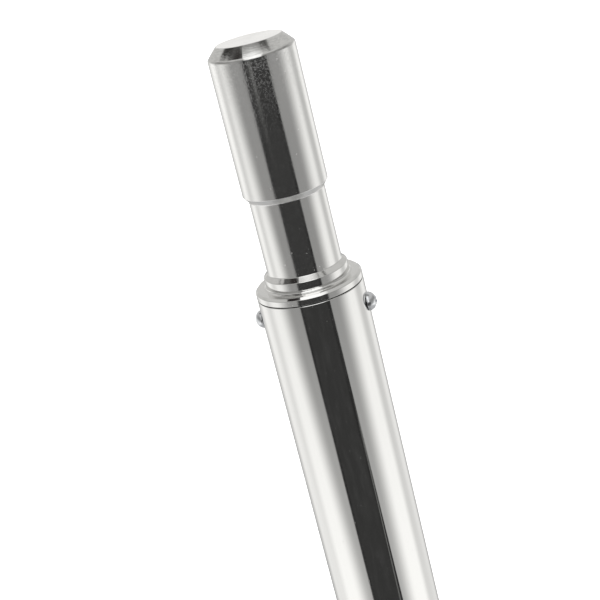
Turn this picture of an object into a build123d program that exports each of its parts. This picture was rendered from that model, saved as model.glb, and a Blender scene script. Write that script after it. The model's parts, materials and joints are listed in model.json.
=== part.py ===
from build123d import *
import os
from math import sin, cos, tan, radians, sqrt, pi

# Adjustable-length knee kicker for stretching carpet.
# Millimetres.  Origin: centre of the rear end face of the turned butt plug.
# +X runs forward along the tube to the gripping head, +Y is left, +Z is up.
# Every moving piece is drawn with the tool at its shortest length, the trigger
# squeezed so that the lock plunger stands clear of the bar above its first
# hole, and the gripping pins drawn in.

os.makedirs("parts", exist_ok=True)

# ---------------------------------------------------------------- dimensions
TUBE_R = 19.05            # 38.1 mm (1-1/2 in) outer tube
TUBE_BORE_R = 15.10
TUBE_X0 = 88.80           # rear end of the tube, against the plug flange
TUBE_X1 = 300.00          # front end, inside the lock collar

PLUG_FACE_R = 11.32       # flat end face inside the lead chamfer
LAND_R = 14.96            # rear land, takes the knee pad socket
LAND_X0 = 3.85            # lead chamfer ends
LAND_X1 = 51.44
NECK_R = 13.31
NECK_X0 = 53.47
NECK_X1 = 80.14
SHOULDER_R = 14.94        # short land in front of the neck
SHOULDER_X0 = 81.65
FLANGE_X0 = 85.60
PLUG_SHANK_R = 15.06      # part of the plug hidden in the tube
PLUG_X1 = 120.00
JOINT_GAP = 0.33          # narrow open groove between flange and tube
JOINT_SEAT_R = 17.70      # the flange bears on the tube end inside this radius

PLUG_SCREW_X = 97.75      # two dome-head screws through the tube wall
DOME_R = 3.40
DOME_H = 3.10
SCREW_R = 1.72
SCREW_HOLE_R = 1.80

COLLAR_R = 24.00
COLLAR_X0 = 266.0
COLLAR_X1 = 324.0
BOSS_TOP = 34.0
COLLAR_SCREW_X = 282.0

BAR_R = 12.70             # 25.4 mm inner bar
BAR_BORE_R = 10.20
BAR_X0 = 150.0
BAR_X1 = 440.0
LOCK_PITCH = 25.0         # spacing of the lock holes
LOCK_COUNT = 5
LOCK_X = 311.0            # plunger axis
LOCK_R = 4.00
LOCK_HOLE_R = 4.20

PIVOT_X, PIVOT_Z = 298.0, 41.0
PIVOT_R = 2.00
TRIGGER_DEG = 12.0        # trigger travel from released to squeezed
LIFT = 13.0 * TRIGGER_DEG * pi / 180   # plunger lift that goes with it

HEAD_X0 = 392.0
HEAD_X1 = 510.0
HEAD_HALF_W = 63.5
HEAD_BOTTOM = -20.0
HEAD_BOSS_R = 18.5
ROOF_Z = -9.0             # roof of the pocket in the underside of the head
POCKET_X0, POCKET_X1 = 454.0, 496.0
POCKET_HALF_W = 54.0
PLATE_BOTTOM = -22.5
GRIP_TIP = -24.0

DIAL_X = 475.0
DIAL_BOSS_TOP = 9.0
DIAL_R = 17.0
STEM_R = 4.00
PIN_R = 0.90
PIN_TIP = -22.3           # gripping pin points when drawn in


# ------------------------------------------------------------------- helpers
def outline(pts):
    """Closed outline of straight runs with rounded corners, as 2-D edges.
    pts: (u, v) or (u, v, corner radius)."""
    n = len(pts)
    P = [(p[0], p[1]) for p in pts]
    R = [p[2] if len(p) > 2 else 0.0 for p in pts]
    ins, outs, mids = [], [], []
    for i in range(n):
        a, b, c = P[i - 1], P[i], P[(i + 1) % n]
        if R[i] <= 0:
            ins.append(b); outs.append(b); mids.append(None)
            continue
        d1 = (a[0] - b[0], a[1] - b[1]); l1 = sqrt(d1[0] ** 2 + d1[1] ** 2)
        d2 = (c[0] - b[0], c[1] - b[1]); l2 = sqrt(d2[0] ** 2 + d2[1] ** 2)
        d1 = (d1[0] / l1, d1[1] / l1); d2 = (d2[0] / l2, d2[1] / l2)
        bx, by = d1[0] + d2[0], d1[1] + d2[1]
        bl = sqrt(bx * bx + by * by); bx /= bl; by /= bl
        half = sqrt(max(0.0, 1 - (d1[0] * bx + d1[1] * by) ** 2))   # sin(theta/2)
        cosh = d1[0] * bx + d1[1] * by
        t = R[i] * cosh / half
        ins.append((b[0] + d1[0] * t, b[1] + d1[1] * t))
        outs.append((b[0] + d2[0] * t, b[1] + d2[1] * t))
        cx, cy = b[0] + bx * R[i] / half, b[1] + by * R[i] / half
        mids.append((cx - bx * R[i], cy - by * R[i]))
    segs = []
    for i in range(n):
        p, q = outs[i - 1], ins[i]
        if sqrt((p[0] - q[0]) ** 2 + (p[1] - q[1]) ** 2) > 1e-6:
            segs.append(("l", p, q))
        if mids[i] is not None:
            segs.append(("a", ins[i], mids[i], outs[i]))
    return segs


def face_on(pts, place):
    """Face from an outline; place maps (u, v) to a 3-D point."""
    edges = []
    for s in outline(pts):
        if s[0] == "l":
            edges.append(Edge.make_line(place(*s[1]), place(*s[2])))
        else:
            edges.append(Edge.make_three_point_arc(place(*s[1]), place(*s[2]), place(*s[3])))
    return Face(Wire(edges))


def turned_x(pts):
    """Solid turned about the X axis from (x, r[, corner radius]) points."""
    f = face_on(pts, lambda u, v: (u, 0.0, v))
    return Solid.revolve(f, 360, Axis.X)


def turned_z(pts, x=0.0, y=0.0):
    """Solid turned about a vertical axis from (r, z[, corner radius]) points."""
    f = face_on(pts, lambda u, v: (u, 0.0, v))
    return Pos(x, y, 0) * Solid.revolve(f, 360, Axis.Z)


def side_cut(pts, y0, y1):
    """Prism with an outline in the X-Z plane between two Y values."""
    f = face_on(pts, lambda u, v: (u, y0, v))
    return Solid.extrude(f, Vector(0, y1 - y0, 0))


def plan_cut(pts, z0, z1):
    """Prism with an outline in the X-Y plane between two Z values."""
    f = face_on(pts, lambda u, v: (u, v, z0))
    return Solid.extrude(f, Vector(0, 0, z1 - z0))


def cyl_x(r, x0, x1, y=0.0, z=0.0):
    return Solid.make_cylinder(r, x1 - x0, Plane(origin=(x0, y, z), z_dir=(1, 0, 0)))


def cyl_y(r, y0, y1, x=0.0, z=0.0):
    return Solid.make_cylinder(r, y1 - y0, Plane(origin=(x, y0, z), z_dir=(0, 1, 0)))


def cyl_z(r, z0, z1, x=0.0, y=0.0):
    return Solid.make_cylinder(r, z1 - z0, Plane(origin=(x, y, z0), z_dir=(0, 0, 1)))


def block(x0, x1, y0, y1, z0, z1):
    return Pos(x0, y0, z0) * Solid.make_box(x1 - x0, y1 - y0, z1 - z0)


def one(shape):
    """The single solid inside a boolean result."""
    s = shape.solids()
    assert len(s) == 1, len(s)
    return s[0]


def write(name, *solids):
    out = solids[0] if len(solids) == 1 else Compound(children=list(solids))
    export_step(out, "parts/" + name + ".step")


def along(axis, shape, x, y, z):
    """Place a shape drawn with its axis on +Z so that the axis points along
    '+y' or '-y' from the given point."""
    if axis == "+y":
        return Pos(x, y, z) * Rot(-90, 0, 0) * shape
    if axis == "-y":
        return Pos(x, y, z) * Rot(90, 0, 0) * shape
    return Pos(x, y, z) * shape


def cross_recess(depth, width, span, top):
    """Tapered cross-shaped driver recess, mouth at z = top."""
    a = block(-span / 2, span / 2, -width / 2, width / 2, top - depth, top + 2)
    b = block(-width / 2, width / 2, -span / 2, span / 2, top - depth, top + 2)
    cone = Solid.make_cone(0.25, span * 0.62, depth + 0.6,
                           Plane(origin=(0, 0, top - depth - 0.05), z_dir=(0, 0, 1)))
    return (a + b) & cone


def dome_screw(head_r, head_h, shank_r, length):
    """Dome-head screw on +Z: seat at z = 0, shank running down."""
    sphere_r = (head_r ** 2 + (head_h - 0.45) ** 2) / (2 * (head_h - 0.45))
    zc = head_h - sphere_r
    prof = [(0.0, head_h)]
    top_edge = Edge.make_three_point_arc(
        (0, 0, head_h),
        (head_r * 0.60, 0, zc + sqrt(sphere_r ** 2 - (head_r * 0.60) ** 2)),
        (head_r, 0, 0.45))
    pts = [(head_r, 0, 0.45), (head_r, 0, 0.12), (head_r - 0.12, 0, 0.0), (shank_r, 0, 0.0),
           (shank_r, 0, -length + 1.6), (0.25, 0, -length), (0, 0, -length), (0, 0, head_h)]
    edges = [top_edge] + [Edge.make_line(pts[i], pts[i + 1]) for i in range(len(pts) - 1)]
    body = Solid.revolve(Face(Wire(edges)), 360, Axis.Z)
    return one(body - cross_recess(1.5, 0.85, head_r * 1.15, head_h))


# ------------------------------------------------- handle: plug, tube, screws
spigot = turned_x([
    (0.0, 0.0), (0.0, PLUG_FACE_R, 0.35), (LAND_X0, LAND_R, 1.2),
    (LAND_X1, LAND_R, 0.25), (NECK_X0, NECK_R, 0.6),
    (NECK_X1, NECK_R, 0.25), (SHOULDER_X0, SHOULDER_R, 0.25),
    (FLANGE_X0, SHOULDER_R, 0.8), (FLANGE_X0, TUBE_R - 0.8, 0.2),
    (FLANGE_X0 + 0.8, TUBE_R, 0.3), (TUBE_X0 - JOINT_GAP, TUBE_R, 0.12),
    (TUBE_X0 - JOINT_GAP, JOINT_SEAT_R), (TUBE_X0, JOINT_SEAT_R), (TUBE_X0, PLUG_SHANK_R), (PLUG_X1 - 1.5, PLUG_SHANK_R), (PLUG_X1, PLUG_SHANK_R - 1.5),
    (PLUG_X1, 0.0),
])
# centre drilling in the hidden end, and the two screw holes
spigot = spigot - Solid.make_cone(3.2, 0.4, 5.0, Plane(origin=(PLUG_X1 + 0.01, 0, 0), z_dir=(-1, 0, 0)))
for sgn in (1, -1):
    a, b = sorted((sgn * 8.0, sgn * 16.0))
    spigot = spigot - cyl_y(SCREW_R + 0.03, a, b, PLUG_SCREW_X)
spigot = one(spigot)
write("spigot", spigot)

tube = turned_x([(TUBE_X0, TUBE_BORE_R, 0.2), (TUBE_X0, TUBE_R, 0.28), (TUBE_X1, TUBE_R, 0.5),
                 (TUBE_X1, TUBE_BORE_R, 0.3)])
for x in (PLUG_SCREW_X, COLLAR_SCREW_X):
    tube = tube - cyl_y(SCREW_HOLE_R, -TUBE_R - 1, TUBE_R + 1, x)
tube = one(tube)
write("tube", tube)

_s = dome_screw(DOME_R, DOME_H, SCREW_R, 10.5)
write("plug_screws",
      along("+y", _s, PLUG_SCREW_X, TUBE_R, 0),
      along("-y", _s, PLUG_SCREW_X, -TUBE_R, 0))

# -------------------------------------------------------------- guide bush
BUSH_FLANGE_X = 302.5
guide_bush = turned_x([
    (270.0, 12.80, 0.4), (270.0, 15.04, 0.6), (TUBE_X1, 15.04), (TUBE_X1, 18.85, 0.3),
    (BUSH_FLANGE_X, 18.85, 0.3), (BUSH_FLANGE_X, 12.80, 0.4)])
# two lubrication slots along the bore
for sgn in (1, -1):
    guide_bush = guide_bush - block(272.0, 298.0, -1.0, 1.0, min(sgn * 12.0, sgn * 13.6), max(sgn * 12.0, sgn * 13.6))
guide_bush = one(guide_bush)
write("guide_bush", guide_bush)

# -------------------------------------------------------------- lock collar
collar = turned_x([
    (COLLAR_X0, 17.0), (COLLAR_X0, 21.2, 0.6), (COLLAR_X0 + 3.2, COLLAR_R, 0.8),
    (COLLAR_X1 - 4.0, COLLAR_R, 1.2), (COLLAR_X1, COLLAR_R - 4.6, 0.8), (COLLAR_X1, 12.0)])
boss = side_cut([(286.0, 0.0), (286.0, BOSS_TOP, 3.0), (COLLAR_X1 - 1.5, BOSS_TOP, 2.5), (COLLAR_X1 - 1.5, 0.0)],
                -11.0, 11.0)
boss = boss & plan_cut([(286.0, -11.0, 2.5), (286.0, 11.0, 2.5), (COLLAR_X1 - 1.5, 11.0, 5.0),
                        (COLLAR_X1 - 1.5, -11.0, 5.0)], -1.0, BOSS_TOP + 1)
collar = collar + boss
# pivot ears
for sgn in (1, -1):
    y0, y1 = sorted((sgn * 7.25, sgn * 11.0))
    ear = side_cut([(291.0, BOSS_TOP - 3.0), (293.2, PIVOT_Z + 5.0, 4.6), (302.8, PIVOT_Z + 5.0, 4.6),
                    (304.0, BOSS_TOP - 3.0)], y0, y1)
    collar = collar + ear
# finger relief rings on the outside
for x in (272.6, 276.0):
    ring = turned_x([(x, COLLAR_R - 0.8), (x, COLLAR_R + 1), (x + 1.4, COLLAR_R + 1), (x + 1.4, COLLAR_R - 0.8)])
    collar = collar - ring
collar = collar - cyl_x(TUBE_R + 0.05, COLLAR_X0 - 1, BUSH_FLANGE_X + 0.05)
collar = collar - cyl_x(12.95, COLLAR_X0 - 1, COLLAR_X1 + 1)
collar = collar - cyl_z(LOCK_R + 0.05, 5.0, BOSS_TOP + 1, LOCK_X)
collar = collar - cyl_z(7.05, 17.0, BOSS_TOP + 1, LOCK_X)
collar = collar - cyl_y(PIVOT_R + 0.02, -12, 12, PIVOT_X, PIVOT_Z)
for sgn in (1, -1):
    a, b = sorted((sgn * 14.0, sgn * 30.0))
    collar = collar - cyl_y(SCREW_HOLE_R, a, b, COLLAR_SCREW_X)
    a, b = sorted((sgn * (COLLAR_R - 1.6), sgn * 30.0))
    collar = collar - cyl_y(DOME_R + 0.35, a, b, COLLAR_SCREW_X)
lock_collar = one(collar)
write("lock_collar", lock_collar)

_c = dome_screw(DOME_R, 2.3, SCREW_R, 6.6)
write("collar_screws",
      along("+y", _c, COLLAR_SCREW_X, COLLAR_R - 1.6, 0),
      along("-y", _c, COLLAR_SCREW_X, -(COLLAR_R - 1.6), 0))

# ------------------------------------------------- lock plunger and its spring
plunger = turned_z([
    (0.0, 10.9), (LOCK_R - 1.0, 10.9, 0.4), (LOCK_R, 12.0, 0.4), (LOCK_R, 17.2), (6.85, 17.2, 0.3),
    (6.85, 19.2, 0.3), (3.0, 19.2), (3.0, 45.0, 0.8), (0.0, 45.0)], LOCK_X)
plunger = one(plunger - cyl_y(1.55, -5, 5, LOCK_X, PIVOT_Z))
plunger = Pos(0, 0, LIFT) * plunger
write("lock_plunger", plunger)

SPRING_WIRE_R = 0.62
_seat = 19.2 + LIFT
_rise = 30.0 - _seat - 2 * SPRING_WIRE_R - 0.06
_h = Helix(pitch=_rise / 4.35, height=_rise, radius=4.95)
_w = sweep(Plane(origin=_h @ 0, z_dir=_h % 0) * Circle(SPRING_WIRE_R), path=_h)
lock_spring = Pos(LOCK_X, 0, _seat + SPRING_WIRE_R + 0.03) * _w.solids()[0]
write("lock_spring", lock_spring)

cap = turned_z([(3.1, 30.0), (6.95, 30.0, 0.4), (6.95, BOSS_TOP), (8.6, BOSS_TOP, 0.3), (8.6, BOSS_TOP + 1.9, 0.5),
                (3.1, BOSS_TOP + 1.9, 0.3)], LOCK_X)
# spanner holes in the cap
for ang in (0, 90, 180, 270):
    cap = cap - cyl_z(0.75, BOSS_TOP + 0.6, BOSS_TOP + 3, LOCK_X + 5.9 * cos(radians(ang)), 5.9 * sin(radians(ang)))
spring_cap = one(cap)
write("spring_cap", spring_cap)

link_pin = cyl_y(1.50, -8.2, 8.2, LOCK_X, PIVOT_Z)
link_pin = Pos(0, 0, LIFT) * one(chamfer(link_pin.edges(), 0.3))
write("link_pin", link_pin)

# ------------------------------------------------------------- trigger lever
lever = side_cut([
    (317.0, 37.6, 3.0), (288.0, 37.2, 8.0), (270.0, 33.6, 14.0), (252.0, 32.6, 6.0), (243.0, 35.2, 1.6),
    (242.0, 42.6, 1.8), (256.0, 39.4, 16.0), (278.0, 40.6, 20.0), (292.0, 46.2, 7.0),
    (306.0, 46.6, 7.0), (317.0, 44.2, 3.2)], -7.0, 7.0)
# plan shape: thumb pad wider at the rear end than at the ears
pad = side_cut([(262.0, 33.6, 2.0), (252.0, 32.6, 5.0), (243.0, 35.2, 1.6), (242.0, 42.6, 1.8), (254.0, 39.6, 8.0),
                (264.0, 39.3, 1.5)], -10.5, 10.5)
pad = pad & plan_cut([(240.0, -10.5, 4.0), (266.0, -7.0, 3.0), (266.0, 7.0, 3.0), (240.0, 10.5, 4.0)], 20, 60)
lever = lever + pad
# fork that straddles the plunger stem, with slots for the link pin
lever = lever - block(306.6, 320.0, -3.3, 3.3, 30.0, 60.0)
lever = lever - side_cut([(LOCK_X - 2.3, PIVOT_Z - 1.62, 1.55), (LOCK_X + 2.3, PIVOT_Z - 1.62, 1.55),
                          (LOCK_X + 2.3, PIVOT_Z + 1.62, 1.55), (LOCK_X - 2.3, PIVOT_Z + 1.62, 1.55)], -9, 9)
lever = lever - cyl_y(PIVOT_R + 0.05, -12, 12, PIVOT_X, PIVOT_Z)
# grip grooves across the thumb pad
for i in range(5):
    lever = lever - cyl_y(0.75, -12, 12, 245.5 + 3.2 * i, 42.05 - 0.42 * i * (1 if i < 4 else 0.86))
trigger_lever = one(lever)
trigger_lever = (Pos(PIVOT_X, 0, PIVOT_Z) * Rot(0, -TRIGGER_DEG, 0) * Pos(-PIVOT_X, 0, -PIVOT_Z)) * trigger_lever
write("trigger_lever", trigger_lever)

pivot = cyl_y(PIVOT_R, -12.2, 12.2, PIVOT_X, PIVOT_Z)
for sgn in (1, -1):
    head = Solid.revolve(face_on([(0, 11.05), (3.3, 11.05, 0.3), (3.3, 12.2, 0.5), (1.6, 12.9, 0.5), (0, 12.9)],
                                 lambda u, v: (u, 0.0, v)), 360, Axis.Z)
    pivot = pivot + along("+y" if sgn > 0 else "-y", head, PIVOT_X, 0, PIVOT_Z)
trigger_pivot_pin = one(pivot)
write("trigger_pivot_pin", trigger_pivot_pin)

# ------------------------------------------------------------------ inner bar
bar = turned_x([(BAR_X0, BAR_BORE_R, 0.2), (BAR_X0, BAR_R, 0.5), (BAR_X1, BAR_R, 0.6), (BAR_X1, BAR_BORE_R, 0.3)])
for k in range(LOCK_COUNT):
    bar = bar - cyl_z(LOCK_HOLE_R, 2.0, 20.0, LOCK_X - LOCK_PITCH * k)
HEAD_BOLT_X = (401.5, 416.5)
for x in HEAD_BOLT_X:
    bar = bar - cyl_y(3.1, -20, 20, x)
RING_X0, RING_X1 = 153.0, 169.0
RING_PIN_X = 161.0
bar = bar - cyl_y(2.0, -20, 20, RING_PIN_X)
inner_bar = one(bar)
write("inner_bar", inner_bar)

slide_ring = turned_x([(RING_X0, BAR_R + 0.02, 0.3), (RING_X0, 15.03, 0.7), (RING_X1, 15.03, 0.7),
                       (RING_X1, BAR_R + 0.02, 0.3)])
slide_ring = slide_ring - cyl_y(2.0, -20, 20, RING_PIN_X)
slide_ring = one(slide_ring)
write("slide_ring", slide_ring)
slide_ring_pin = one(chamfer(cyl_y(1.98, -14.6, 14.6, RING_PIN_X, 0).edges(), 0.4))
write("slide_ring_pin", slide_ring_pin)

# ---------------------------------------------------------------- head casting
side = side_cut([
    (426.0, HEAD_BOTTOM, 1.5), (HEAD_X1, HEAD_BOTTOM, 1.2), (HEAD_X1, -12.6, 2.6), (499.0, -4.4, 9.0),
    (462.0, 6.0, 14.0), (441.0, 15.0, 12.0), (426.0, 16.0, 3.0)], -HEAD_HALF_W, HEAD_HALF_W)
plan = plan_cut([
    (426.0, -20.5, 3.0), (436.0, -26.0, 16.0), (455.0, -HEAD_HALF_W, 14.0), (HEAD_X1, -HEAD_HALF_W, 9.0),
    (HEAD_X1, HEAD_HALF_W, 9.0), (455.0, HEAD_HALF_W, 14.0), (436.0, 26.0, 16.0), (426.0, 20.5, 3.0)], -30.0, 30.0)
head = side & plan
neck = turned_x([(HEAD_X0, 0.0), (HEAD_X0, HEAD_BOSS_R - 1.6, 0.6), (HEAD_X0 + 1.8, HEAD_BOSS_R, 0.8), (444.5, HEAD_BOSS_R, 4.0),
                 (456.0, 5.0, 4.0), (456.0, 0.0)])
head = head + neck
# flats for the clamp bolt heads and nuts
for x in HEAD_BOLT_X:
    for sgn in (1, -1):
        a, b = sorted((sgn * 12.0, sgn * 17.0))
        head = head + cyl_y(6.9, a, b, x)
        a, b = sorted((sgn * 17.0, sgn * 30.0))
        head = head - cyl_y(6.9, a, b, x)
dial_boss = turned_z([(0, -8.0), (21.5, -8.0), (20.0, DIAL_BOSS_TOP, 1.2), (0, DIAL_BOSS_TOP)], DIAL_X)
head = head + dial_boss
# raised webs fanning from the neck across the top of the wedge
for sgn in (1, -1):
    web = side_cut([(428.0, -10.0), (428.0, 17.6, 2.0), (443.0, 17.2, 10.0), (464.0, 8.2, 14.0), (500.0, -3.6, 6.0),
                    (500.0, -10.0)], -2.2, 2.2)
    web = Pos(430.0, sgn * 15.5, 0) * Rot(0, 0, sgn * 36.0) * Pos(-430.0, 0, 0) * web
    web = web & plan
    head = head + web
# pocket, socket for the bar, bores
head = head - plan_cut([(POCKET_X0, -POCKET_HALF_W, 4.0), (POCKET_X1, -POCKET_HALF_W, 4.0),
                        (POCKET_X1, POCKET_HALF_W, 4.0), (POCKET_X0, POCKET_HALF_W, 4.0)], HEAD_BOTTOM - 5, ROOF_Z)
head = head - cyl_x(BAR_R + 0.03, HEAD_X0 - 1, BAR_X1 + 1.0)
head = head - cyl_z(20.0, DIAL_BOSS_TOP, DIAL_BOSS_TOP + 20, DIAL_X)
head = head - cyl_z(STEM_R + 0.05, ROOF_Z - 1, DIAL_BOSS_TOP + 20, DIAL_X)
for x in HEAD_BOLT_X:
    head = head - cyl_y(3.05, -30, 30, x)
DOWELS = ((468.5, 21.0), (468.5, -21.0))
for (x, y) in DOWELS:
    head = head - cyl_z(2.01, ROOF_Z - 1, -3.0, x, y)
PLATE_SCREWS = ((447.0, 30.0), (447.0, -30.0), (503.0, 0.0), (503.0, 46.0), (503.0, -46.0))
for (x, y) in PLATE_SCREWS:
    head = head - cyl_z(1.95, HEAD_BOTTOM - 1, -13.0, x, y)
head_body = one(head)
write("head_body", head_body)

# clamp bolts and nuts through the neck
def hexagon(af, h, z0, cham=0.5):
    r = af / sqrt(3)
    pr = extrude(Pos(0, 0, z0) * RegularPolygon(r, 6), h)
    lim = Solid.revolve(face_on([(0, z0), (r, z0), (r, z0 + h - cham), (r - cham * 1.6, z0 + h), (0, z0 + h)],
                                lambda u, v: (u, 0.0, v)), 360, Axis.Z)
    return one(pr & lim)

bolts, nuts = [], []
for x in HEAD_BOLT_X:
    b = hexagon(10.0, 4.0, 0.0) + Solid.make_cylinder(3.0, 40.8, Plane(origin=(0, 0, -40.8), z_dir=(0, 0, 1)))
    b = b - Solid.make_cylinder(2.6, 1.0, Plane(origin=(0, 0, 3.6), z_dir=(0, 0, 1)))
    bolts.append(along("+y", one(b), x, 17.0, 0))
    n = hexagon(10.0, 5.0, 0.0) - Solid.make_cylinder(3.03, 12, Plane(origin=(0, 0, -2), z_dir=(0, 0, 1)))
    nuts.append(along("-y", one(n), x, -17.0, 0))
write("head_bolts", *bolts)
write("head_nuts", *nuts)

# -------------------------------------------------------------- base plate
GX0, GX1 = 458.0, 492.0        # windows for the two nap grips
GY0, GY1 = 32.0, 50.5
base = plan_cut([(430.5, -18.0, 3.0), (437.5, -24.0, 14.0), (456.5, -61.0, 13.0), (508.0, -61.0, 7.5),
                 (508.0, 61.0, 7.5), (456.5, 61.0, 13.0), (437.5, 24.0, 14.0), (430.5, 18.0, 3.0)],
                PLATE_BOTTOM, HEAD_BOTTOM)
base = one(base)
base = one(chamfer(base.faces().sort_by(Axis.Z)[0].edges(), 0.6))
PIN_ROWS = []
for col in range(-4, 5):
    y = 6.0 * col
    PIN_ROWS.append((462.0, y))
    PIN_ROWS.append((488.0, y))
    if abs(y) > 8:
        PIN_ROWS.append((475.0, y))
for sgn in (1, -1):
    ya, yb = sorted((sgn * GY0, sgn * GY1))
    base = base - plan_cut([(GX0, ya, 2.0), (GX1, ya, 2.0), (GX1, yb, 2.0), (GX0, yb, 2.0)], -30.0, -10.0)
for (x, y) in PIN_ROWS:
    base = base - cyl_z(1.35, -30.0, -10.0, x, y)
for (x, y) in PLATE_SCREWS:
    base = base - cyl_z(2.0, -30.0, -10.0, x, y)
    base = base - Solid.make_cone(3.78, 2.0, 1.86, Plane(origin=(x, y, PLATE_BOTTOM - 0.001), z_dir=(0, 0, 1)))
base_plate = one(base)
write("base_plate", base_plate)

def csk_screw(length=8.6):
    """Countersunk screw pointing up (+Z), head face at z = 0."""
    s = Solid.revolve(face_on([(0, 0.12), (3.42, 0.12), (3.50, 0.20), (1.88, 1.72), (1.88, length - 1.0), (0.9, length), (0, length)],
                              lambda u, v: (u, 0.0, v)), 360, Axis.Z)
    rec = Rot(180, 0, 0) * cross_recess(1.3, 0.8, 3.4, -0.12)
    return one(s - rec)

write("base_plate_screws", *[Pos(x, y, PLATE_BOTTOM) * csk_screw() for (x, y) in PLATE_SCREWS])

# -------------------------------------------------------------- nap grips
def nap_grip(sgn):
    fy0, fy1 = sorted((sgn * 29.6, sgn * 53.85))
    flange = plan_cut([(POCKET_X0 + 0.15, fy0, 2.0), (POCKET_X1 - 0.15, fy0, 2.0),
                       (POCKET_X1 - 0.15, fy1, 4.0), (POCKET_X0 + 0.15, fy1, 4.0)] if sgn > 0 else
                      [(POCKET_X0 + 0.15, fy0, 4.0), (POCKET_X1 - 0.15, fy0, 4.0),
                       (POCKET_X1 - 0.15, fy1, 2.0), (POCKET_X0 + 0.15, fy1, 2.0)],
                      HEAD_BOTTOM + 0.02, ROOF_Z - 0.05)
    # hollow back so the moulding keeps an even wall
    hy0, hy1 = sorted((sgn * 33.0, sgn * 50.0))
    flange = flange - block(POCKET_X0 + 4, POCKET_X1 - 4, hy0, hy1, -17.0, ROOF_Z + 1)
    py0, py1 = sorted((sgn * (GY0 + 0.15), sgn * (GY1 - 0.15)))
    foot = plan_cut([(GX0 + 0.15, py0, 1.85), (GX1 - 0.15, py0, 1.85), (GX1 - 0.15, py1, 1.85),
                     (GX0 + 0.15, py1, 1.85)], GRIP_TIP, -18.0)
    # rows of short pyramid teeth cut with crossing V grooves
    step = 2.8
    n = int((GX1 - GX0) / step) + 2
    for i in range(n):
        x = GX0 + step * i
        foot = foot - side_cut([(x - 1.15, GRIP_TIP - 0.2), (x, GRIP_TIP + 1.9), (x + 1.15, GRIP_TIP - 0.2)],
                               py0 - 1, py1 + 1)
    m = int((py1 - py0) / step) + 2
    for i in range(m):
        y = py0 + step * i
        f = face_on([(y - 1.15, GRIP_TIP - 0.2), (y, GRIP_TIP + 1.9), (y + 1.15, GRIP_TIP - 0.2)],
                    lambda u, v: (GX0 - 1, u, v))
        foot = foot - Solid.extrude(f, Vector(GX1 - GX0 + 2, 0, 0))
    return one(flange + foot)

write("nap_grip_left", nap_grip(1))
write("nap_grip_right", nap_grip(-1))

# ------------------------------------------------- pin carrier, pins, dowels
carrier = plan_cut([(456.5, -28.6, 3.0), (493.5, -28.6, 3.0), (493.5, 28.6, 3.0), (456.5, 28.6, 3.0)], -14.0, -11.5)
carrier = carrier + cyl_z(6.4, -14.9, -10.75, DIAL_X)
carrier = carrier - cyl_z(STEM_R + 0.05, -20.0, -5.0, DIAL_X)
for (x, y) in DOWELS:
    carrier = carrier - cyl_z(2.06, -20.0, -5.0, x, y)
for (x, y) in PIN_ROWS:
    carrier = carrier - cyl_z(PIN_R + 0.01, -20.0, -5.0, x, y)
pin_carrier = one(carrier)
write("pin_carrier", pin_carrier)

_pin = Solid.revolve(face_on([(0, -11.5), (PIN_R - 0.15, -11.5), (PIN_R, -11.65), (PIN_R, PIN_TIP + 3.2),
                              (0.12, PIN_TIP), (0, PIN_TIP)], lambda u, v: (u, 0.0, v)), 360, Axis.Z)
write("gripping_pins", *[Pos(x, y, 0) * _pin for (x, y) in PIN_ROWS])

write("guide_dowels", *[one(chamfer(cyl_z(2.00, -19.7, -3.2, x, y).edges(), 0.3)) for (x, y) in DOWELS])

# --------------------------------------------------------------- depth dial
dial = turned_z([(2.6, 9.75), (DIAL_R - 2.2, 9.75, 0.5), (DIAL_R, 11.2, 0.8), (DIAL_R, 19.4, 1.0),
                 (DIAL_R - 2.0, 21.2, 0.8), (10.5, 21.2, 1.0), (9.3, 19.6, 0.8), (2.6, 19.6)], DIAL_X)
for i in range(30):
    a = 2 * pi * i / 30
    dial = dial - cyl_z(1.15, 8.0, 23.0, DIAL_X + (DIAL_R + 0.35) * cos(a), (DIAL_R + 0.35) * sin(a))
# pointer groove on the dial face, straight ahead at the drawn-in setting
dial = dial - block(DIAL_X + 10.0, DIAL_X + DIAL_R + 1, -0.6, 0.6, 20.4, 23.0)
depth_dial = one(dial)
write("depth_dial", depth_dial)

stem = turned_z([(0.0, -19.4), (STEM_R - 0.6, -19.4), (STEM_R, -18.8), (STEM_R, -10.35), (3.2, -10.35),
                 (3.2, -9.15), (STEM_R, -9.15), (STEM_R, 9.70), (2.55, 9.70), (2.55, 19.2), (0.0, 19.2)], DIAL_X)
stem = stem - cyl_z(1.5, 8.0, 20.0, DIAL_X)
dial_stem = one(stem)
write("dial_stem", dial_stem)

ring = cyl_z(6.6, -10.25, -9.2, DIAL_X) - cyl_z(3.25, -12, -8, DIAL_X) - block(DIAL_X - 1.9, DIAL_X + 1.9, -8, 0, -12, -8)
stem_ring = one(ring)
write("stem_ring", stem_ring)

dial_screw = Pos(DIAL_X, 0, 19.6) * dome_screw(4.6, 2.9, 1.47, 9.0)
write("dial_screw", dial_screw)

# waved spring washer between dial and boss, drawn as pressed flat
ww = cyl_z(9.6, DIAL_BOSS_TOP + 0.04, DIAL_BOSS_TOP + 0.64, DIAL_X) - cyl_z(4.35, 5, 15, DIAL_X)
ww = one(chamfer(ww.edges(), 0.12))
write("spring_washer", ww)

# depth scale plate: thin graduated ring sector riveted flat on the boss
scale = cyl_z(19.0, DIAL_BOSS_TOP, DIAL_BOSS_TOP + 0.5, DIAL_X) - cyl_z(10.0, 5, 15, DIAL_X)
for i in range(12):
    a = radians(30 * i)
    c = Pos(DIAL_X, 0, 0) * Rot(0, 0, 30 * i) * block(17.6, 18.6, -0.2, 0.2, DIAL_BOSS_TOP + 0.3, DIAL_BOSS_TOP + 1)
    scale = scale - c
scale_ring = one(scale)
write("scale_ring", scale_ring)
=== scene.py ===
import bpy
import bmesh
import json
import math
import random
from mathutils import Vector, Matrix


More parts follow.
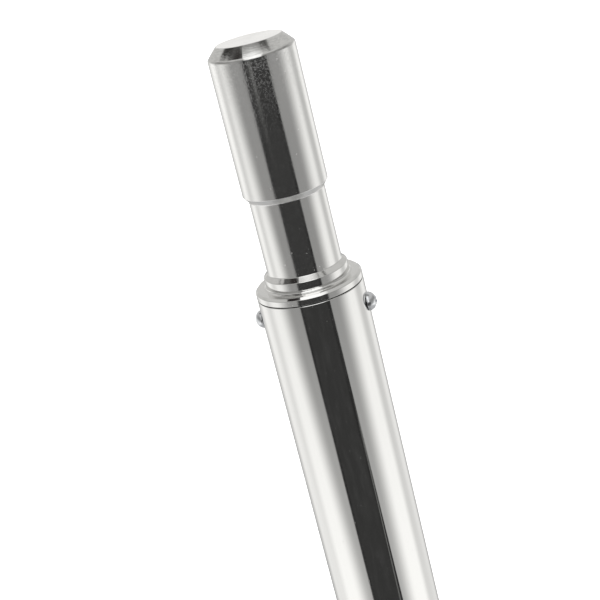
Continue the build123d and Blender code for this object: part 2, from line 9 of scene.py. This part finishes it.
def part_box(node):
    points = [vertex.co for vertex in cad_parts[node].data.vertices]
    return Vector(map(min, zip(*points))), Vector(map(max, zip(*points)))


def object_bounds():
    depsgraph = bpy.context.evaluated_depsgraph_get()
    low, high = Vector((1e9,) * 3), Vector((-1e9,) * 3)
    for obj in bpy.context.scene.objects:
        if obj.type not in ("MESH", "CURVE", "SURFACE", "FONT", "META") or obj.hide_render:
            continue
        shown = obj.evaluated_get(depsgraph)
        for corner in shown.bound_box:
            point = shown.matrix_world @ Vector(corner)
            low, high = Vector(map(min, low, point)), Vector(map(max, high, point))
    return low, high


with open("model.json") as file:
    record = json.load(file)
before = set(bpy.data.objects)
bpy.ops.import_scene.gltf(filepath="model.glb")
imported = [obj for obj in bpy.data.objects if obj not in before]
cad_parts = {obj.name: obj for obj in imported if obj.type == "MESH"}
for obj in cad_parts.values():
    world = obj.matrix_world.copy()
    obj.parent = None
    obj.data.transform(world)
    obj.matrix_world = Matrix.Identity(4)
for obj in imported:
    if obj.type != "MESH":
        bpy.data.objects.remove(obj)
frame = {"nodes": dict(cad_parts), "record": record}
cad_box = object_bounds()
scene = bpy.context.scene

# ------------------------------------------------------------- colour output
scene.view_settings.view_transform = "Standard"
scene.view_settings.look = "None"
scene.view_settings.exposure = 0.0
scene.view_settings.gamma = 1.0
scene.render.film_transparent = False

NODES = frame["nodes"]
MM = 0.001


# ------------------------------------------------------------- node building
class Tree:
    """Short-hand for building a node tree."""

    def __init__(self, tree):
        self.t = tree
        self.n = tree.nodes
        self.l = tree.links

    def put(self, sock, val):
        if isinstance(val, bpy.types.NodeSocket):
            self.l.new(val, sock)
        elif val is not None:
            sock.default_value = val

    def math(self, op, a, b=None, c=None, clamp=False):
        n = self.n.new("ShaderNodeMath")
        n.operation = op
        n.use_clamp = clamp
        self.put(n.inputs[0], a)
        if b is not None:
            self.put(n.inputs[1], b)
        if c is not None:
            self.put(n.inputs[2], c)
        return n.outputs[0]

    def vmath(self, op, a, b=None, scale=None):
        n = self.n.new("ShaderNodeVectorMath")
        n.operation = op
        self.put(n.inputs[0], a)
        if b is not None:
            self.put(n.inputs[1], b)
        if scale is not None:
            self.put(n.inputs["Scale"], scale)
        return n.outputs["Value"] if op in ("DOT_PRODUCT", "LENGTH") else n.outputs[0]

    def obj(self):
        return self.n.new("ShaderNodeTexCoord").outputs["Object"]

    def sep(self, v):
        n = self.n.new("ShaderNodeSeparateXYZ")
        self.put(n.inputs[0], v)
        return n.outputs

    def comb(self, x, y, z):
        n = self.n.new("ShaderNodeCombineXYZ")
        for i, v in enumerate((x, y, z)):
            self.put(n.inputs[i], v)
        return n.outputs[0]

    def scaled(self, v, s):
        n = self.n.new("ShaderNodeMapping")
        self.put(n.inputs["Vector"], v)
        n.inputs["Scale"].default_value = s
        return n.outputs[0]

    def noise(self, v, scale, detail=3.0, rough=0.55, dist=0.0, w=None):
        n = self.n.new("ShaderNodeTexNoise")
        if w is not None:
            n.noise_dimensions = "4D"
            self.put(n.inputs["W"], w)
        self.put(n.inputs["Vector"], v)
        self.put(n.inputs["Scale"], scale)
        self.put(n.inputs["Detail"], detail)
        self.put(n.inputs["Roughness"], rough)
        self.put(n.inputs["Distortion"], dist)
        return n.outputs["Fac"]

    def voronoi(self, v, scale, feature="F1", rand=1.0):
        n = self.n.new("ShaderNodeTexVoronoi")
        n.feature = feature
        self.put(n.inputs["Vector"], v)
        self.put(n.inputs["Scale"], scale)
        n.inputs["Randomness"].default_value = rand
        return n.outputs["Distance"]

    def step(self, v, lo, hi, a=0.0, b=1.0, smooth=True):
        n = self.n.new("ShaderNodeMapRange")
        n.interpolation_type = "SMOOTHSTEP" if smooth else "LINEAR"
        n.clamp = True
        self.put(n.inputs["Value"], v)
        self.put(n.inputs["From Min"], lo)
        self.put(n.inputs["From Max"], hi)
        self.put(n.inputs["To Min"], a)
        self.put(n.inputs["To Max"], b)
        return n.outputs[0]

    def mixc(self, f, a, b, mode="MIX"):
        n = self.n.new("ShaderNodeMix")
        n.data_type = "RGBA"
        n.blend_type = mode
        self.put(n.inputs[0], f)
        for s, v in ((n.inputs[6], a), (n.inputs[7], b)):
            if isinstance(v, (tuple, list)) and len(v) == 3:
                v = (v[0], v[1], v[2], 1.0)
            self.put(s, v)
        return n.outputs[2]

    def mixf(self, f, a, b):
        n = self.n.new("ShaderNodeMix")
        n.data_type = "FLOAT"
        self.put(n.inputs[0], f)
        self.put(n.inputs[2], a)
        self.put(n.inputs[3], b)
        return n.outputs[0]

    def bump(self, height, strength=1.0, distance=1e-4, normal=None):
        n = self.n.new("ShaderNodeBump")
        self.put(n.inputs["Height"], height)
        n.inputs["Strength"].default_value = strength
        n.inputs["Distance"].default_value = distance
        if normal is not None:
            self.put(n.inputs["Normal"], normal)
        return n.outputs[0]

    def edge(self, radius):
        """1 on convex or concave edges within radius, 0 on flats."""
        n = self.n.new("ShaderNodeBevel")
        n.samples = 4
        n.inputs["Radius"].default_value = radius
        g = self.n.new("ShaderNodeNewGeometry").outputs["Normal"]
        d = self.vmath("DOT_PRODUCT", n.outputs[0], g)
        return self.step(d, 0.90, 0.985, 1.0, 0.0)

    def bsdf(self, **kw):
        n = self.n.new("ShaderNodeBsdfPrincipled")
        for k, v in kw.items():
            k = k.replace("_", " ")
            if isinstance(v, (tuple, list)) and len(v) == 3:
                v = (v[0], v[1], v[2], 1.0)
            self.put(n.inputs[k], v)
        out = self.n.new("ShaderNodeOutputMaterial")
        self.l.new(n.outputs[0], out.inputs[0])
        return n


def material(name):
    m = bpy.data.materials.new(name)
    m.use_nodes = True
    m.node_tree.nodes.clear()
    return m, Tree(m.node_tree)


# ----------------------------------------------------------------- the camera
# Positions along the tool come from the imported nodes.
TUBE_LO, TUBE_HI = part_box("tube")
X_GAP = TUBE_LO[0]                       # joint between plug flange and tube
R_TUBE = (TUBE_HI[2] - TUBE_LO[2]) / 2

PHI = math.radians(12.9)                 # turn of the tool about its own axis
FR = Vector((0.0, math.sin(PHI), math.cos(PHI)))        # from the axis to the lens
SIDE = Vector((0.0, math.cos(PHI), -math.sin(PHI)))     # picture right, before roll
U = Vector((1.0, 0.0, 0.0))
u_c = Vector((0.00301249, 0.94275629, 0.3334689))
f_c = Vector((-0.00926365, 0.33348242, -0.94271081))
s_c = Vector((0.99995255, 0.00024923, -0.00973797))
P0_C = Vector((4.53728917, -3.74222716, 465.81980955)) * MM


def from_cam(v):
    """Lens-frame vector (right, down, forward, before roll) in the row frame."""
    return U * u_c.dot(v) + FR * f_c.dot(v) + SIDE * s_c.dot(v)


roll = math.radians(14.0)
c14, s14 = math.cos(roll), math.sin(roll)
right = from_cam(Vector((c14, s14, 0))).normalized()
down = from_cam(Vector((-s14, c14, 0))).normalized()
fwd = from_cam(Vector((0, 0, 1))).normalized()
cam_data = bpy.data.cameras.new("camera")
cam = bpy.data.objects.new("camera", cam_data)
scene.collection.objects.link(cam)
cam_data.sensor_width = 36.0
cam_data.sensor_height = 36.0
cam_data.lens = 36.0 * 1326.8364 / 600.0
cam_data.clip_start = 0.01
cam_data.clip_end = 50.0
loc = Vector((X_GAP, 0, 0)) - from_cam(P0_C)
rot = Matrix((right, -down, -fwd)).transposed()
cam.matrix_world = Matrix.Translation(loc) @ rot.to_4x4()
scene.camera = cam

# ------------------------------------------------------------------ the world
# Polished metal shows its surroundings, so the studio is drawn as a sky that
# only reflections see: soft panels either side of the tool's axis with the
# dark gap between them overhead, a bright panel behind the butt and a flag
# beside it.
world = bpy.data.worlds.new("studio")
scene.world = world
world.use_nodes = True
world.node_tree.nodes.clear()
W = Tree(world.node_tree)
d = W.n.new("ShaderNodeTexCoord").outputs["Generated"]
d = W.vmath("NORMALIZE", d)
w_a = W.vmath("DOT_PRODUCT", d, tuple(FR))
w_b = W.vmath("DOT_PRODUCT", d, tuple(SIDE))
w_c = W.vmath("DOT_PRODUCT", d, (1.0, 0.0, 0.0))
alpha = W.math("MULTIPLY", W.math("ARCTAN2", w_b, w_a), 180 / math.pi)
# Two soft panels stand on each side of the tool with grey wall around them
# and a dark gap overhead. They stand close, so their edges lean inwards
# towards the front of the tool. Angles are degrees from straight overhead,
# levels are linear.
ang_w = W.math("ABSOLUTE", alpha)
along = W.math("SUBTRACT", w_c, 0.37)
lean = W.math("MULTIPLY", along, -70.0)
ang_near = W.math("SUBTRACT", ang_w, lean)


def studio_side(near_end, dip, far_start, far_gain, far_end, gap_edge, rim):
    wall = W.math("ADD", 0.33, W.math("MULTIPLY", W.math("MAXIMUM", along, -0.05), 0.8))
    peak = W.math("ADD", 0.96, W.math("MULTIPLY", along, 0.6))
    v = W.step(ang_near, 46.0, 84.0, wall, peak)
    v = W.math("SUBTRACT", v, W.step(ang_w, near_end, near_end + 19.0, 0.0, dip))
    far = W.math("SUBTRACT", far_gain, W.math("MULTIPLY", along, 1.1))
    v = W.math("ADD", v, W.step(ang_w, far_start, far_start + 20.0, 0.0, far))
    v = W.math("SUBTRACT", v, W.step(ang_w, far_end, far_end + 20.0, 0.0, 0.32))
    v = W.math("MULTIPLY", v, W.step(ang_w, 152.0, 176.0, 1.0, 0.45))
    edge = W.math("ADD", gap_edge, W.math("MULTIPLY", along, 2.0))
    inside = W.math("SUBTRACT", ang_w, edge)
    gap = W.step(inside, rim, rim + 4.0, 0.036, 0.022)
    v = W.math("ADD", gap, W.math("MULTIPLY", W.step(inside, -0.6, 0.6), W.math("SUBTRACT", v, gap)))
    return W.comb(W.math("MULTIPLY", v, 1.004), v, W.math("MULTIPLY", v, 0.982))


left_side = studio_side(91.0, 0.18, 108.0, 0.16, 134.0, 34.4, -5.0)
right_side = studio_side(94.0, 0.32, 118.0, 0.24, 143.0, 33.6, -9.0)
pattern = W.mixc(W.math("GREATER_THAN", alpha, 0.0), left_side, right_side)
# thin light slit inside the dark gap, drifting in from its edge to the front
line_at = W.math("SUBTRACT", 32.7, W.math("MULTIPLY", W.math("SUBTRACT", w_c, 0.413), 37.0))
line = W.step(W.math("ABSOLUTE", W.math("SUBTRACT", alpha, line_at)), 0.5, 1.6, 1.0, 0.0)
line = W.math("MULTIPLY", line, W.step(w_c, 0.40, 0.44))
pattern = W.mixc(W.math("MULTIPLY", line, 0.9), pattern, (0.165, 0.165, 0.16))
# soft lighter streak in the gap at the very rear
streak = W.step(W.math("ABSOLUTE", W.math("ADD", alpha, 13.2)), 1.0, 6.0, 1.0, 0.0)
streak = W.math("MULTIPLY", streak, W.step(w_c, 0.158, 0.212, 1.0, 0.0))
pattern = W.mixc(streak, pattern, (0.175, 0.175, 0.17))
# towards +X the panels end: even mid grey
front = W.step(w_c, 0.60, 0.72)
front_v = W.step(W.math("ABSOLUTE", W.math("SUBTRACT", w_b, 0.05)), 0.02, 0.24, 0.19, 0.48)
pattern = W.mixc(front, pattern, W.comb(front_v, front_v, front_v))
# towards -X: bright panel in the middle, dark flag on its left, grey beyond
back = W.step(w_c, 0.02, -0.12)
grey = W.mixc(W.step(w_a, -0.985, -0.94), (0.92, 0.912, 0.895), (0.56, 0.556, 0.543))
grey = W.mixc(W.step(w_a, -0.30, 0.10), grey, (0.52, 0.517, 0.505))
grey = W.mixc(W.math("MULTIPLY", W.step(w_c, -0.55, -0.40), W.step(w_a, -0.75, -0.15)), grey, (0.27, 0.268, 0.26))
flag_left = W.math("ADD", W.step(w_a, -0.05, 0.07, -0.612, -0.552), W.step(w_a, -0.26, -0.16, -0.05, 0.0))
flag = W.step(W.math("SUBTRACT", w_b, flag_left), -0.014, 0.014)
flag = W.math("MULTIPLY", flag, W.step(w_b, -0.335, -0.300, 1.0, 0.0))
flag = W.math("MULTIPLY", flag, W.step(w_a, 0.30, 0.40, 1.0, 0.0))
flag = W.math("MULTIPLY", flag, W.step(w_a, -0.46, -0.42))
flag = W.math("MULTIPLY", flag, W.step(w_c, -0.45, -0.6))
dark = W.mixc(W.step(w_a, -0.20, -0.03), (0.034, 0.033, 0.031), (0.085, 0.083, 0.080))
dark = W.mixc(W.step(w_a, 0.0, 0.10), dark, (0.020, 0.017, 0.016))
behind = W.mixc(flag, grey, dark)
mid_low = W.math("MULTIPLY", W.step(w_b, -0.335, -0.300), W.step(w_b, 0.47, 0.51, 1.0, 0.0))
fade = W.step(w_b, 0.30, 0.36, 0.205, 0.085)
low = W.math("MULTIPLY", mid_low, W.math("MULTIPLY", W.step(w_a, -0.3, -0.1),
                                         W.step(W.math("SUBTRACT", w_a, fade), -0.02, 0.03, 1.0, 0.0)))
behind = W.mixc(low, behind, W.mixc(W.math("MULTIPLY", W.step(w_b, 0.27, 0.33, 1.0, 0.0), W.step(w_a, 0.0, 0.12)),
                                    (0.085, 0.084, 0.081), (0.36, 0.36, 0.35)))
mid = W.math("MULTIPLY", W.step(w_b, -0.335, -0.300), W.step(w_b, 0.335, 0.375, 1.0, 0.0))
up = W.math("MULTIPLY", mid, W.step(w_a, 0.16, 0.32))
behind = W.mixc(up, behind, (1.15, 1.15, 1.14))
pattern = W.mixc(back, pattern, behind)

lp = W.n.new("ShaderNodeLightPath")
bg_gloss = W.n.new("ShaderNodeBackground")
W.put(bg_gloss.inputs["Color"], pattern)
bg_soft = W.n.new("ShaderNodeBackground")
bg_soft.inputs["Color"].default_value = (0.94, 0.945, 0.95, 1)
bg_soft.inputs["Strength"].default_value = 0.62
bg_cam = W.n.new("ShaderNodeBackground")
bg_cam.inputs["Color"].default_value = (1, 1, 1, 1)
bg_cam.inputs["Strength"].default_value = 1.0
m1 = W.n.new("ShaderNodeMixShader")
W.put(m1.inputs[0], lp.outputs["Is Glossy Ray"])
W.l.new(bg_soft.outputs[0], m1.inputs[1])
W.l.new(bg_gloss.outputs[0], m1.inputs[2])
m2 = W.n.new("ShaderNodeMixShader")
W.put(m2.inputs[0], lp.outputs["Is Camera Ray"])
W.l.new(m1.outputs[0], m2.inputs[1])
W.l.new(bg_cam.outputs[0], m2.inputs[2])
wo = W.n.new("ShaderNodeOutputWorld")
W.l.new(m2.outputs[0], wo.inputs[0])

# ------------------------------------------------------------ floor and lights
bm = bmesh.new()
bmesh.ops.create_grid(bm, x_segments=1, y_segments=1, size=4.0)
me = bpy.data.meshes.new("floor")
bm.to_mesh(me)
bm.free()
floor = bpy.data.objects.new("floor", me)
scene.collection.objects.link(floor)
floor.location = (X_GAP, 0, cad_box[0][2] - 0.0001)
floor.visible_glossy = False
m, T = material("floor_paper")
spot = T.noise(T.obj(), 60.0, 4.0)
base = T.mixc(spot, (0.90, 0.90, 0.90), (0.92, 0.92, 0.92))
diff = T.n.new("ShaderNodeBsdfDiffuse")
T.put(diff.inputs["Color"], base)
emi = T.n.new("ShaderNodeEmission")
emi.inputs["Color"].default_value = (1, 1, 1, 1)
emi.inputs["Strength"].default_value = 0.62
add = T.n.new("ShaderNodeAddShader")
T.l.new(diff.outputs[0], add.inputs[0])
T.l.new(emi.outputs[0], add.inputs[1])
fo = T.n.new("ShaderNodeOutputMaterial")
T.l.new(add.outputs[0], fo.inputs[0])
me.materials.append(m)


def softbox(name, where, aim, size, watts):
    ld = bpy.data.lights.new(name, "AREA")
    ld.shape = "RECTANGLE"
    ld.size, ld.size_y = size
    ld.energy = watts
    ld.color = (1.0, 0.995, 0.985)
    o = bpy.data.objects.new(name, ld)
    scene.collection.objects.link(o)
    o.location = where
    o.rotation_mode = "QUATERNION"
    o.rotation_quaternion = (Vector(aim) - Vector(where)).to_track_quat("-Z", "Y")
    o.visible_glossy = False
    o.visible_camera = False
    return o


centre = (cad_box[0] + cad_box[1]) / 2
softbox("soft_left", centre + Vector((-0.3, -1.5, 1.5)), centre, (1.8, 1.4), 16.0)
softbox("soft_right", centre + Vector((-0.1, 1.6, 1.4)), centre, (1.8, 1.4), 14.0)
softbox("soft_top", centre + Vector((0.2, 0.1, 2.2)), centre, (2.4, 1.8), 20.0)


# ---------------------------------------------------------------- materials
def axial(T):
    """(x, radius, angle) about the tool axis for the point being shaded, metres."""
    x, y, z = T.sep(T.obj())
    r = T.math("SQRT", T.math("ADD", T.math("MULTIPLY", y, y), T.math("MULTIPLY", z, z)))
    ang = T.math("ARCTAN2", y, z)
    return x, r, ang, (x, y, z)


def groove_painted_shade(T, x, r):
    """Painted shade: mask of the narrow groove where the flange meets the tube, which is coloured near-black there."""
    near = T.step(T.math("ABSOLUTE", T.math("SUBTRACT", x, X_GAP - 0.16 * MM)), 0.20 * MM, 0.26 * MM, 1.0, 0.0)
    return T.math("MULTIPLY", near, T.step(r, R_TUBE - 0.10 * MM, R_TUBE - 0.03 * MM, 1.0, 0.0))


def turned_aluminium():
    m, T = material("turned_aluminium")
    x, r, ang, (ox, y, z) = axial(T)
    P = T.obj()
    # feed marks: change quickly along the axis and on the flats with radius,
    # hardly at all round the work
    ring_v = T.comb(T.math("MULTIPLY", x, 1000.0), T.math("MULTIPLY", ang, 0.9), T.math("MULTIPLY", r, 1000.0))
    fine = T.noise(ring_v, 5.5, 3.0, 0.65)
    coarse = T.noise(ring_v, 1.6, 2.0, 0.5)
    # the lead chamfer and end face are rougher than the lands
    cham = T.step(x, 0.0042, 0.0052, 1.0, 0.0)
    # dull, grainy skin near the rear of the land
    pit_zone = T.math("MULTIPLY", T.step(x, 0.0040, 0.036, 1.0, 0.16), T.step(x, 0.0038, 0.0046))
    pit_n = T.noise(P, 1350.0, 3.0, 0.8)
    pits = T.math("MULTIPLY", T.step(pit_n, 0.49, 0.62), pit_zone)
    specks = T.voronoi(P, 330.0)
    specks = T.step(specks, 0.045, 0.085, 1.0, 0.0)
    sm = T.noise(P, 60.0, 3.0, 0.6)
    h = T.math("ADD", T.math("MULTIPLY", fine, T.mixf(cham, 0.016, 0.17)), T.math("MULTIPLY", coarse, T.mixf(cham, 0.016, 0.22)))
    h = T.math("SUBTRACT", h, T.math("MULTIPLY", pits, 0.13))
    # the lead chamfer is very slightly crowned
    u = T.step(x, 0.0, 0.00385, -1.0, 1.0, smooth=False)
    h = T.math("SUBTRACT", h, T.math("MULTIPLY", T.math("MULTIPLY", u, u), 1.15))
    h = T.math("SUBTRACT", h, T.math("MULTIPLY", specks, 0.35))
    nrm = T.bump(h, 1.0, 0.00006)
    rough = T.math("ADD", T.mixf(cham, 0.075, 0.11), T.math("MULTIPLY", T.step(sm, 0.35, 0.8), 0.05))
    cone = T.math("MULTIPLY", T.step(x, 0.0513, 0.0515), T.step(x, 0.0535, 0.0537, 1.0, 0.0))
    rough = T.math("ADD", rough, T.math("MULTIPLY", cone, 0.20))
    rough = T.math("ADD", rough, T.math("ADD", T.math("MULTIPLY", pits, 0.05), T.math("MULTIPLY", specks, 0.22)))
    col = T.mixc(T.math("MULTIPLY", T.step(sm, 0.3, 0.75), 0.6), (0.90, 0.897, 0.885), (0.875, 0.872, 0.862))
    col = T.mixc(T.math("MULTIPLY", pits, 0.10), col, (0.70, 0.70, 0.69))
    # coarse feed lines on the lead chamfer
    sv = T.comb(T.math("MULTIPLY", x, 1000.0), T.math("MULTIPLY", ang, 3.0), T.math("MULTIPLY", r, 1000.0))
    feed = T.step(T.noise(sv, 2.1, 3.0, 0.65), 0.40, 0.62)
    feed = T.math("MULTIPLY", feed, T.math("MULTIPLY", cham, T.step(x, 0.0001, 0.0003)))
    col = T.mixc(T.math("MULTIPLY", feed, 0.24), col, (0.40, 0.398, 0.39))
    # painted shade: the flange-to-tube groove is coloured near-black, made rougher and non-metallic
    groove_shade = groove_painted_shade(T, x, r)
    col = T.mixc(groove_shade, col, (0.010, 0.010, 0.010))
    rough = T.math("ADD", rough, T.math("MULTIPLY", groove_shade, 0.5))
    # a trace of dull oxide, strongest in the grainy skin
    haze = T.math("ADD", T.math("MULTIPLY", pits, 0.062), T.math("MULTIPLY", T.step(T.noise(P, 900.0, 3.0, 0.7), 0.45, 0.75), 0.010))
    T.bsdf(Base_Color=col, Metallic=T.math("SUBTRACT", T.math("SUBTRACT", 1.0, groove_shade), haze, clamp=True), Roughness=rough, Normal=nrm)
    return m


def polished_tube():
    m, T = material("polished_tube")
    x, r, ang, (ox, y, z) = axial(T)
    P = T.obj()
    # draw lines run lengthwise: vary round the tube, slowly along it
    lv = T.comb(T.math("MULTIPLY", x, 14.0), T.math("MULTIPLY", ang, 19.05), 0.0)
    lines = T.noise(lv, 6.0, 3.0, 0.6)
    broad = T.noise(lv, 0.55, 2.0, 0.5)
    smudge = T.noise(T.scaled(P, (0.55, 1.0, 1.0)), 42.0, 4.0, 0.6)
    specks = T.step(T.voronoi(P, 210.0), 0.030, 0.055, 1.0, 0.0)
    h = T.math("ADD", T.math("MULTIPLY", lines, 0.012), T.math("MULTIPLY", broad, 0.02))
    h = T.math("SUBTRACT", h, T.math("MULTIPLY", specks, 0.22))
    nrm = T.bump(h, 1.0, 0.00006)
    rough = T.math("ADD", 0.052, T.math("MULTIPLY", T.step(smudge, 0.42, 0.85), 0.045))
    rough = T.math("ADD", rough, T.math("MULTIPLY", specks, 0.2))
    col = T.mixc(T.math("MULTIPLY", smudge, 0.8), (0.91, 0.907, 0.895), (0.885, 0.882, 0.872))
    # painted shade: the flange-to-tube groove is coloured near-black, made rougher and non-metallic
    groove_shade = groove_painted_shade(T, x, r)
    col = T.mixc(groove_shade, col, (0.010, 0.010, 0.010))
    rough = T.math("ADD", rough, T.math("MULTIPLY", groove_shade, 0.5))
    # faint dry film left by the polish, drawn out along the tube
    film = T.noise(T.scaled(P, (0.16, 1.0, 1.0)), 520.0, 4.0, 0.7)
    film = T.math("MULTIPLY", T.step(film, 0.42, 0.78), 0.012)
    T.bsdf(Base_Color=col, Metallic=T.math("SUBTRACT", T.math("SUBTRACT", 1.0, groove_shade), film, clamp=True), Roughness=rough, Normal=nrm)
    return m


def metal(name, col, col2, rough, grain=260.0, stretch=(1, 1, 1), bump=0.05, wear=None, var=0.06, metallic=1.0,
          fine=None):
    """General metal: two-tone colour drift, brushed or ground grain, worn edges."""
    m, T = material(name)
    P = T.scaled(T.obj(), stretch)
    g = T.noise(P, grain, 4.0, 0.62)
    b = T.noise(T.obj(), 55.0, 4.0, 0.6)
    s = T.step(T.voronoi(T.obj(), 260.0), 0.03, 0.07, 1.0, 0.0)
    c = T.mixc(T.step(b, 0.3, 0.7), col, col2)
    h = T.math("SUBTRACT", T.math("MULTIPLY", g, 1.0), T.math("MULTIPLY", s, 0.5))
    if fine:
        h = T.math("ADD", h, T.math("MULTIPLY", T.noise(T.obj(), fine, 3.0, 0.7), 0.9))
    nrm = T.bump(h, min(1.0, bump * 4), 0.0001 * max(bump, 0.02) * 6)
    rr = T.math("ADD", rough - var / 2, T.math("MULTIPLY", T.step(b, 0.25, 0.8), var), clamp=True)
    rr = T.math("ADD", rr, T.math("MULTIPLY", T.math("SUBTRACT", g, 0.5), var))
    if wear is not None:
        e = T.math("MULTIPLY", T.edge(0.00035), T.step(T.noise(T.obj(), 190.0, 4.0), 0.36, 0.62))
        c = T.mixc(e, c, wear)
    T.bsdf(Base_Color=c, Metallic=metallic, Roughness=rr, Normal=nrm)
    return m


def painted(name, col, col2, rough, wear_col, orange=900.0, coat=0.0):
    """Powder coat with orange-peel texture, bare metal showing at worn edges."""
    m, T = material(name)
    P = T.obj()
    b = T.noise(P, 70.0, 4.0, 0.6)
    peel = T.noise(P, orange, 2.0, 0.5)
    e = T.math("MULTIPLY", T.edge(0.00022), T.step(T.noise(P, 260.0, 5.0, 0.7), 0.55, 0.66))
    c = T.mixc(T.step(b, 0.3, 0.7), col, col2)
    c = T.mixc(e, c, wear_col)
    rr = T.math("ADD", rough, T.math("MULTIPLY", T.math("SUBTRACT", b, 0.5), 0.18), clamp=True)
    nrm = T.bump(peel, 0.55, 0.00006)
    T.bsdf(Base_Color=c, Metallic=T.math("MULTIPLY", e, 0.9), Roughness=rr, Normal=nrm, Coat_Weight=coat)
    return m


def plastic(name, col, col2, rough, grain=800.0, bump=0.35, sheen=0.0):
    m, T = material(name)
    P = T.obj()
    b = T.noise(P, 48.0, 4.0, 0.6)
    g = T.noise(P, grain, 3.0, 0.6)
    c = T.mixc(T.step(b, 0.3, 0.7), col, col2)
    c = T.mixc(T.math("MULTIPLY", T.step(g, 0.55, 0.8), 0.25), c, tuple(min(1.0, v * 1.5 + 0.01) for v in col2))
    rr = T.math("ADD", rough, T.math("MULTIPLY", T.math("SUBTRACT", g, 0.5), 0.2), clamp=True)
    nrm = T.bump(g, bump, 0.00008)
    T.bsdf(Base_Color=c, Metallic=0.0, Roughness=rr, Normal=nrm, IOR=1.5)
    return m


def cast_aluminium():
    m, T = material("cast_aluminium")
    P = T.obj()
    grit = T.noise(P, 1300.0, 3.0, 0.7)
    lumps = T.noise(P, 210.0, 4.0, 0.6)
    b = T.noise(P, 32.0, 4.0, 0.6)
    pits = T.step(T.voronoi(P, 420.0), 0.05, 0.16, 1.0, 0.0)
    pits = T.math("MULTIPLY", pits, T.step(T.noise(P, 120.0, 3.0), 0.52, 0.66))
    e = T.edge(0.0005)
    c = T.mixc(T.step(b, 0.3, 0.72), (0.70, 0.705, 0.705), (0.60, 0.605, 0.61))
    c = T.mixc(T.math("MULTIPLY", pits, 0.5), c, (0.36, 0.36, 0.36))
    c = T.mixc(T.math("MULTIPLY", e, 0.5), c, (0.84, 0.84, 0.835))
    h = T.math("ADD", T.math("MULTIPLY", grit, 0.55), T.math("MULTIPLY", lumps, 0.8))
    h = T.math("SUBTRACT", h, T.math("MULTIPLY", pits, 1.1))
    nrm = T.bump(h, 0.75, 0.00009)
    rr = T.math("ADD", 0.36, T.math("MULTIPLY", T.math("SUBTRACT", b, 0.5), 0.16))
    rr = T.math("SUBTRACT", rr, T.math("MULTIPLY", e, 0.12))
    T.bsdf(Base_Color=c, Metallic=1.0, Roughness=rr, Normal=nrm)
    return m


MATS = {
    "turned_aluminium": turned_aluminium(),
    "polished_tube": polished_tube(),
    "zinc_fastener": metal("zinc_fastener", (0.66, 0.70, 0.74), (0.58, 0.62, 0.66), 0.20, 420.0, bump=0.03, var=0.10),
    # painted light: a lighter copy of zinc_fastener, standing in for the bright panels reflected in the plug screw
    # domes
    "zinc_fastener_lit_copy": metal("zinc_fastener_lit_copy", (0.87, 0.885, 0.905), (0.80, 0.815, 0.84), 0.24, 420.0, bump=0.03, var=0.10),
    "machined_aluminium": metal("machined_aluminium", (0.78, 0.785, 0.79), (0.70, 0.705, 0.71), 0.27, 300.0,
                                (3.2, 0.35, 0.35), 0.05, wear=(0.9, 0.9, 0.89), fine=1500.0),
    "hard_steel": metal("hard_steel", (0.56, 0.565, 0.57), (0.47, 0.475, 0.48), 0.24, 420.0, (1, 1, 3.0), 0.04),
    "spring_steel": metal("spring_steel", (0.48, 0.485, 0.49), (0.38, 0.385, 0.40), 0.28, 500.0, bump=0.04),
    "nickel_steel": metal("nickel_steel", (0.76, 0.745, 0.71), (0.68, 0.67, 0.64), 0.18, 320.0, bump=0.03),
    "lever_paint": painted("lever_paint", (0.030, 0.031, 0.034), (0.042, 0.043, 0.046), 0.40, (0.55, 0.55, 0.55)),
    "chromed_bar": metal("chromed_bar", (0.86, 0.865, 0.87), (0.82, 0.825, 0.83), 0.085, 260.0, (0.10, 1.0, 1.0), 0.012,
                         var=0.04),
    "cast_aluminium": cast_aluminium(),
    "plate_steel": metal("plate_steel", (0.66, 0.665, 0.67), (0.57, 0.575, 0.58), 0.30, 300.0, (0.12, 2.4, 1.0), 0.06,
                         wear=(0.82, 0.82, 0.82)),
    "black_nylon": plastic("black_nylon", (0.024, 0.024, 0.026), (0.036, 0.036, 0.038), 0.46),
    "acetal": plastic("acetal", (0.80, 0.79, 0.74), (0.76, 0.75, 0.70), 0.38, 600.0, 0.2),
    "dial_aluminium": metal("dial_aluminium", (0.82, 0.82, 0.81), (0.75, 0.75, 0.74), 0.20, 380.0, (1, 1, 2.0), 0.04,
                            wear=(0.93, 0.93, 0.92)),
    "scale_enamel": painted("scale_enamel", (0.024, 0.026, 0.032), (0.034, 0.036, 0.042), 0.30, (0.7, 0.7, 0.7), 500.0),
}
SLOT_OF = {s["node"]: s["material_slot"] for s in frame["record"]["subparts"]}
for name, ob in NODES.items():
    # the plug screws take the lighter painted-light copy of the zinc fastener metal instead of their slot's material
    mat = MATS["zinc_fastener_lit_copy" if name == "plug_screws" else SLOT_OF[name]]
    if not ob.material_slots:
        ob.data.materials.append(mat)
    for s in ob.material_slots:
        s.material = mat
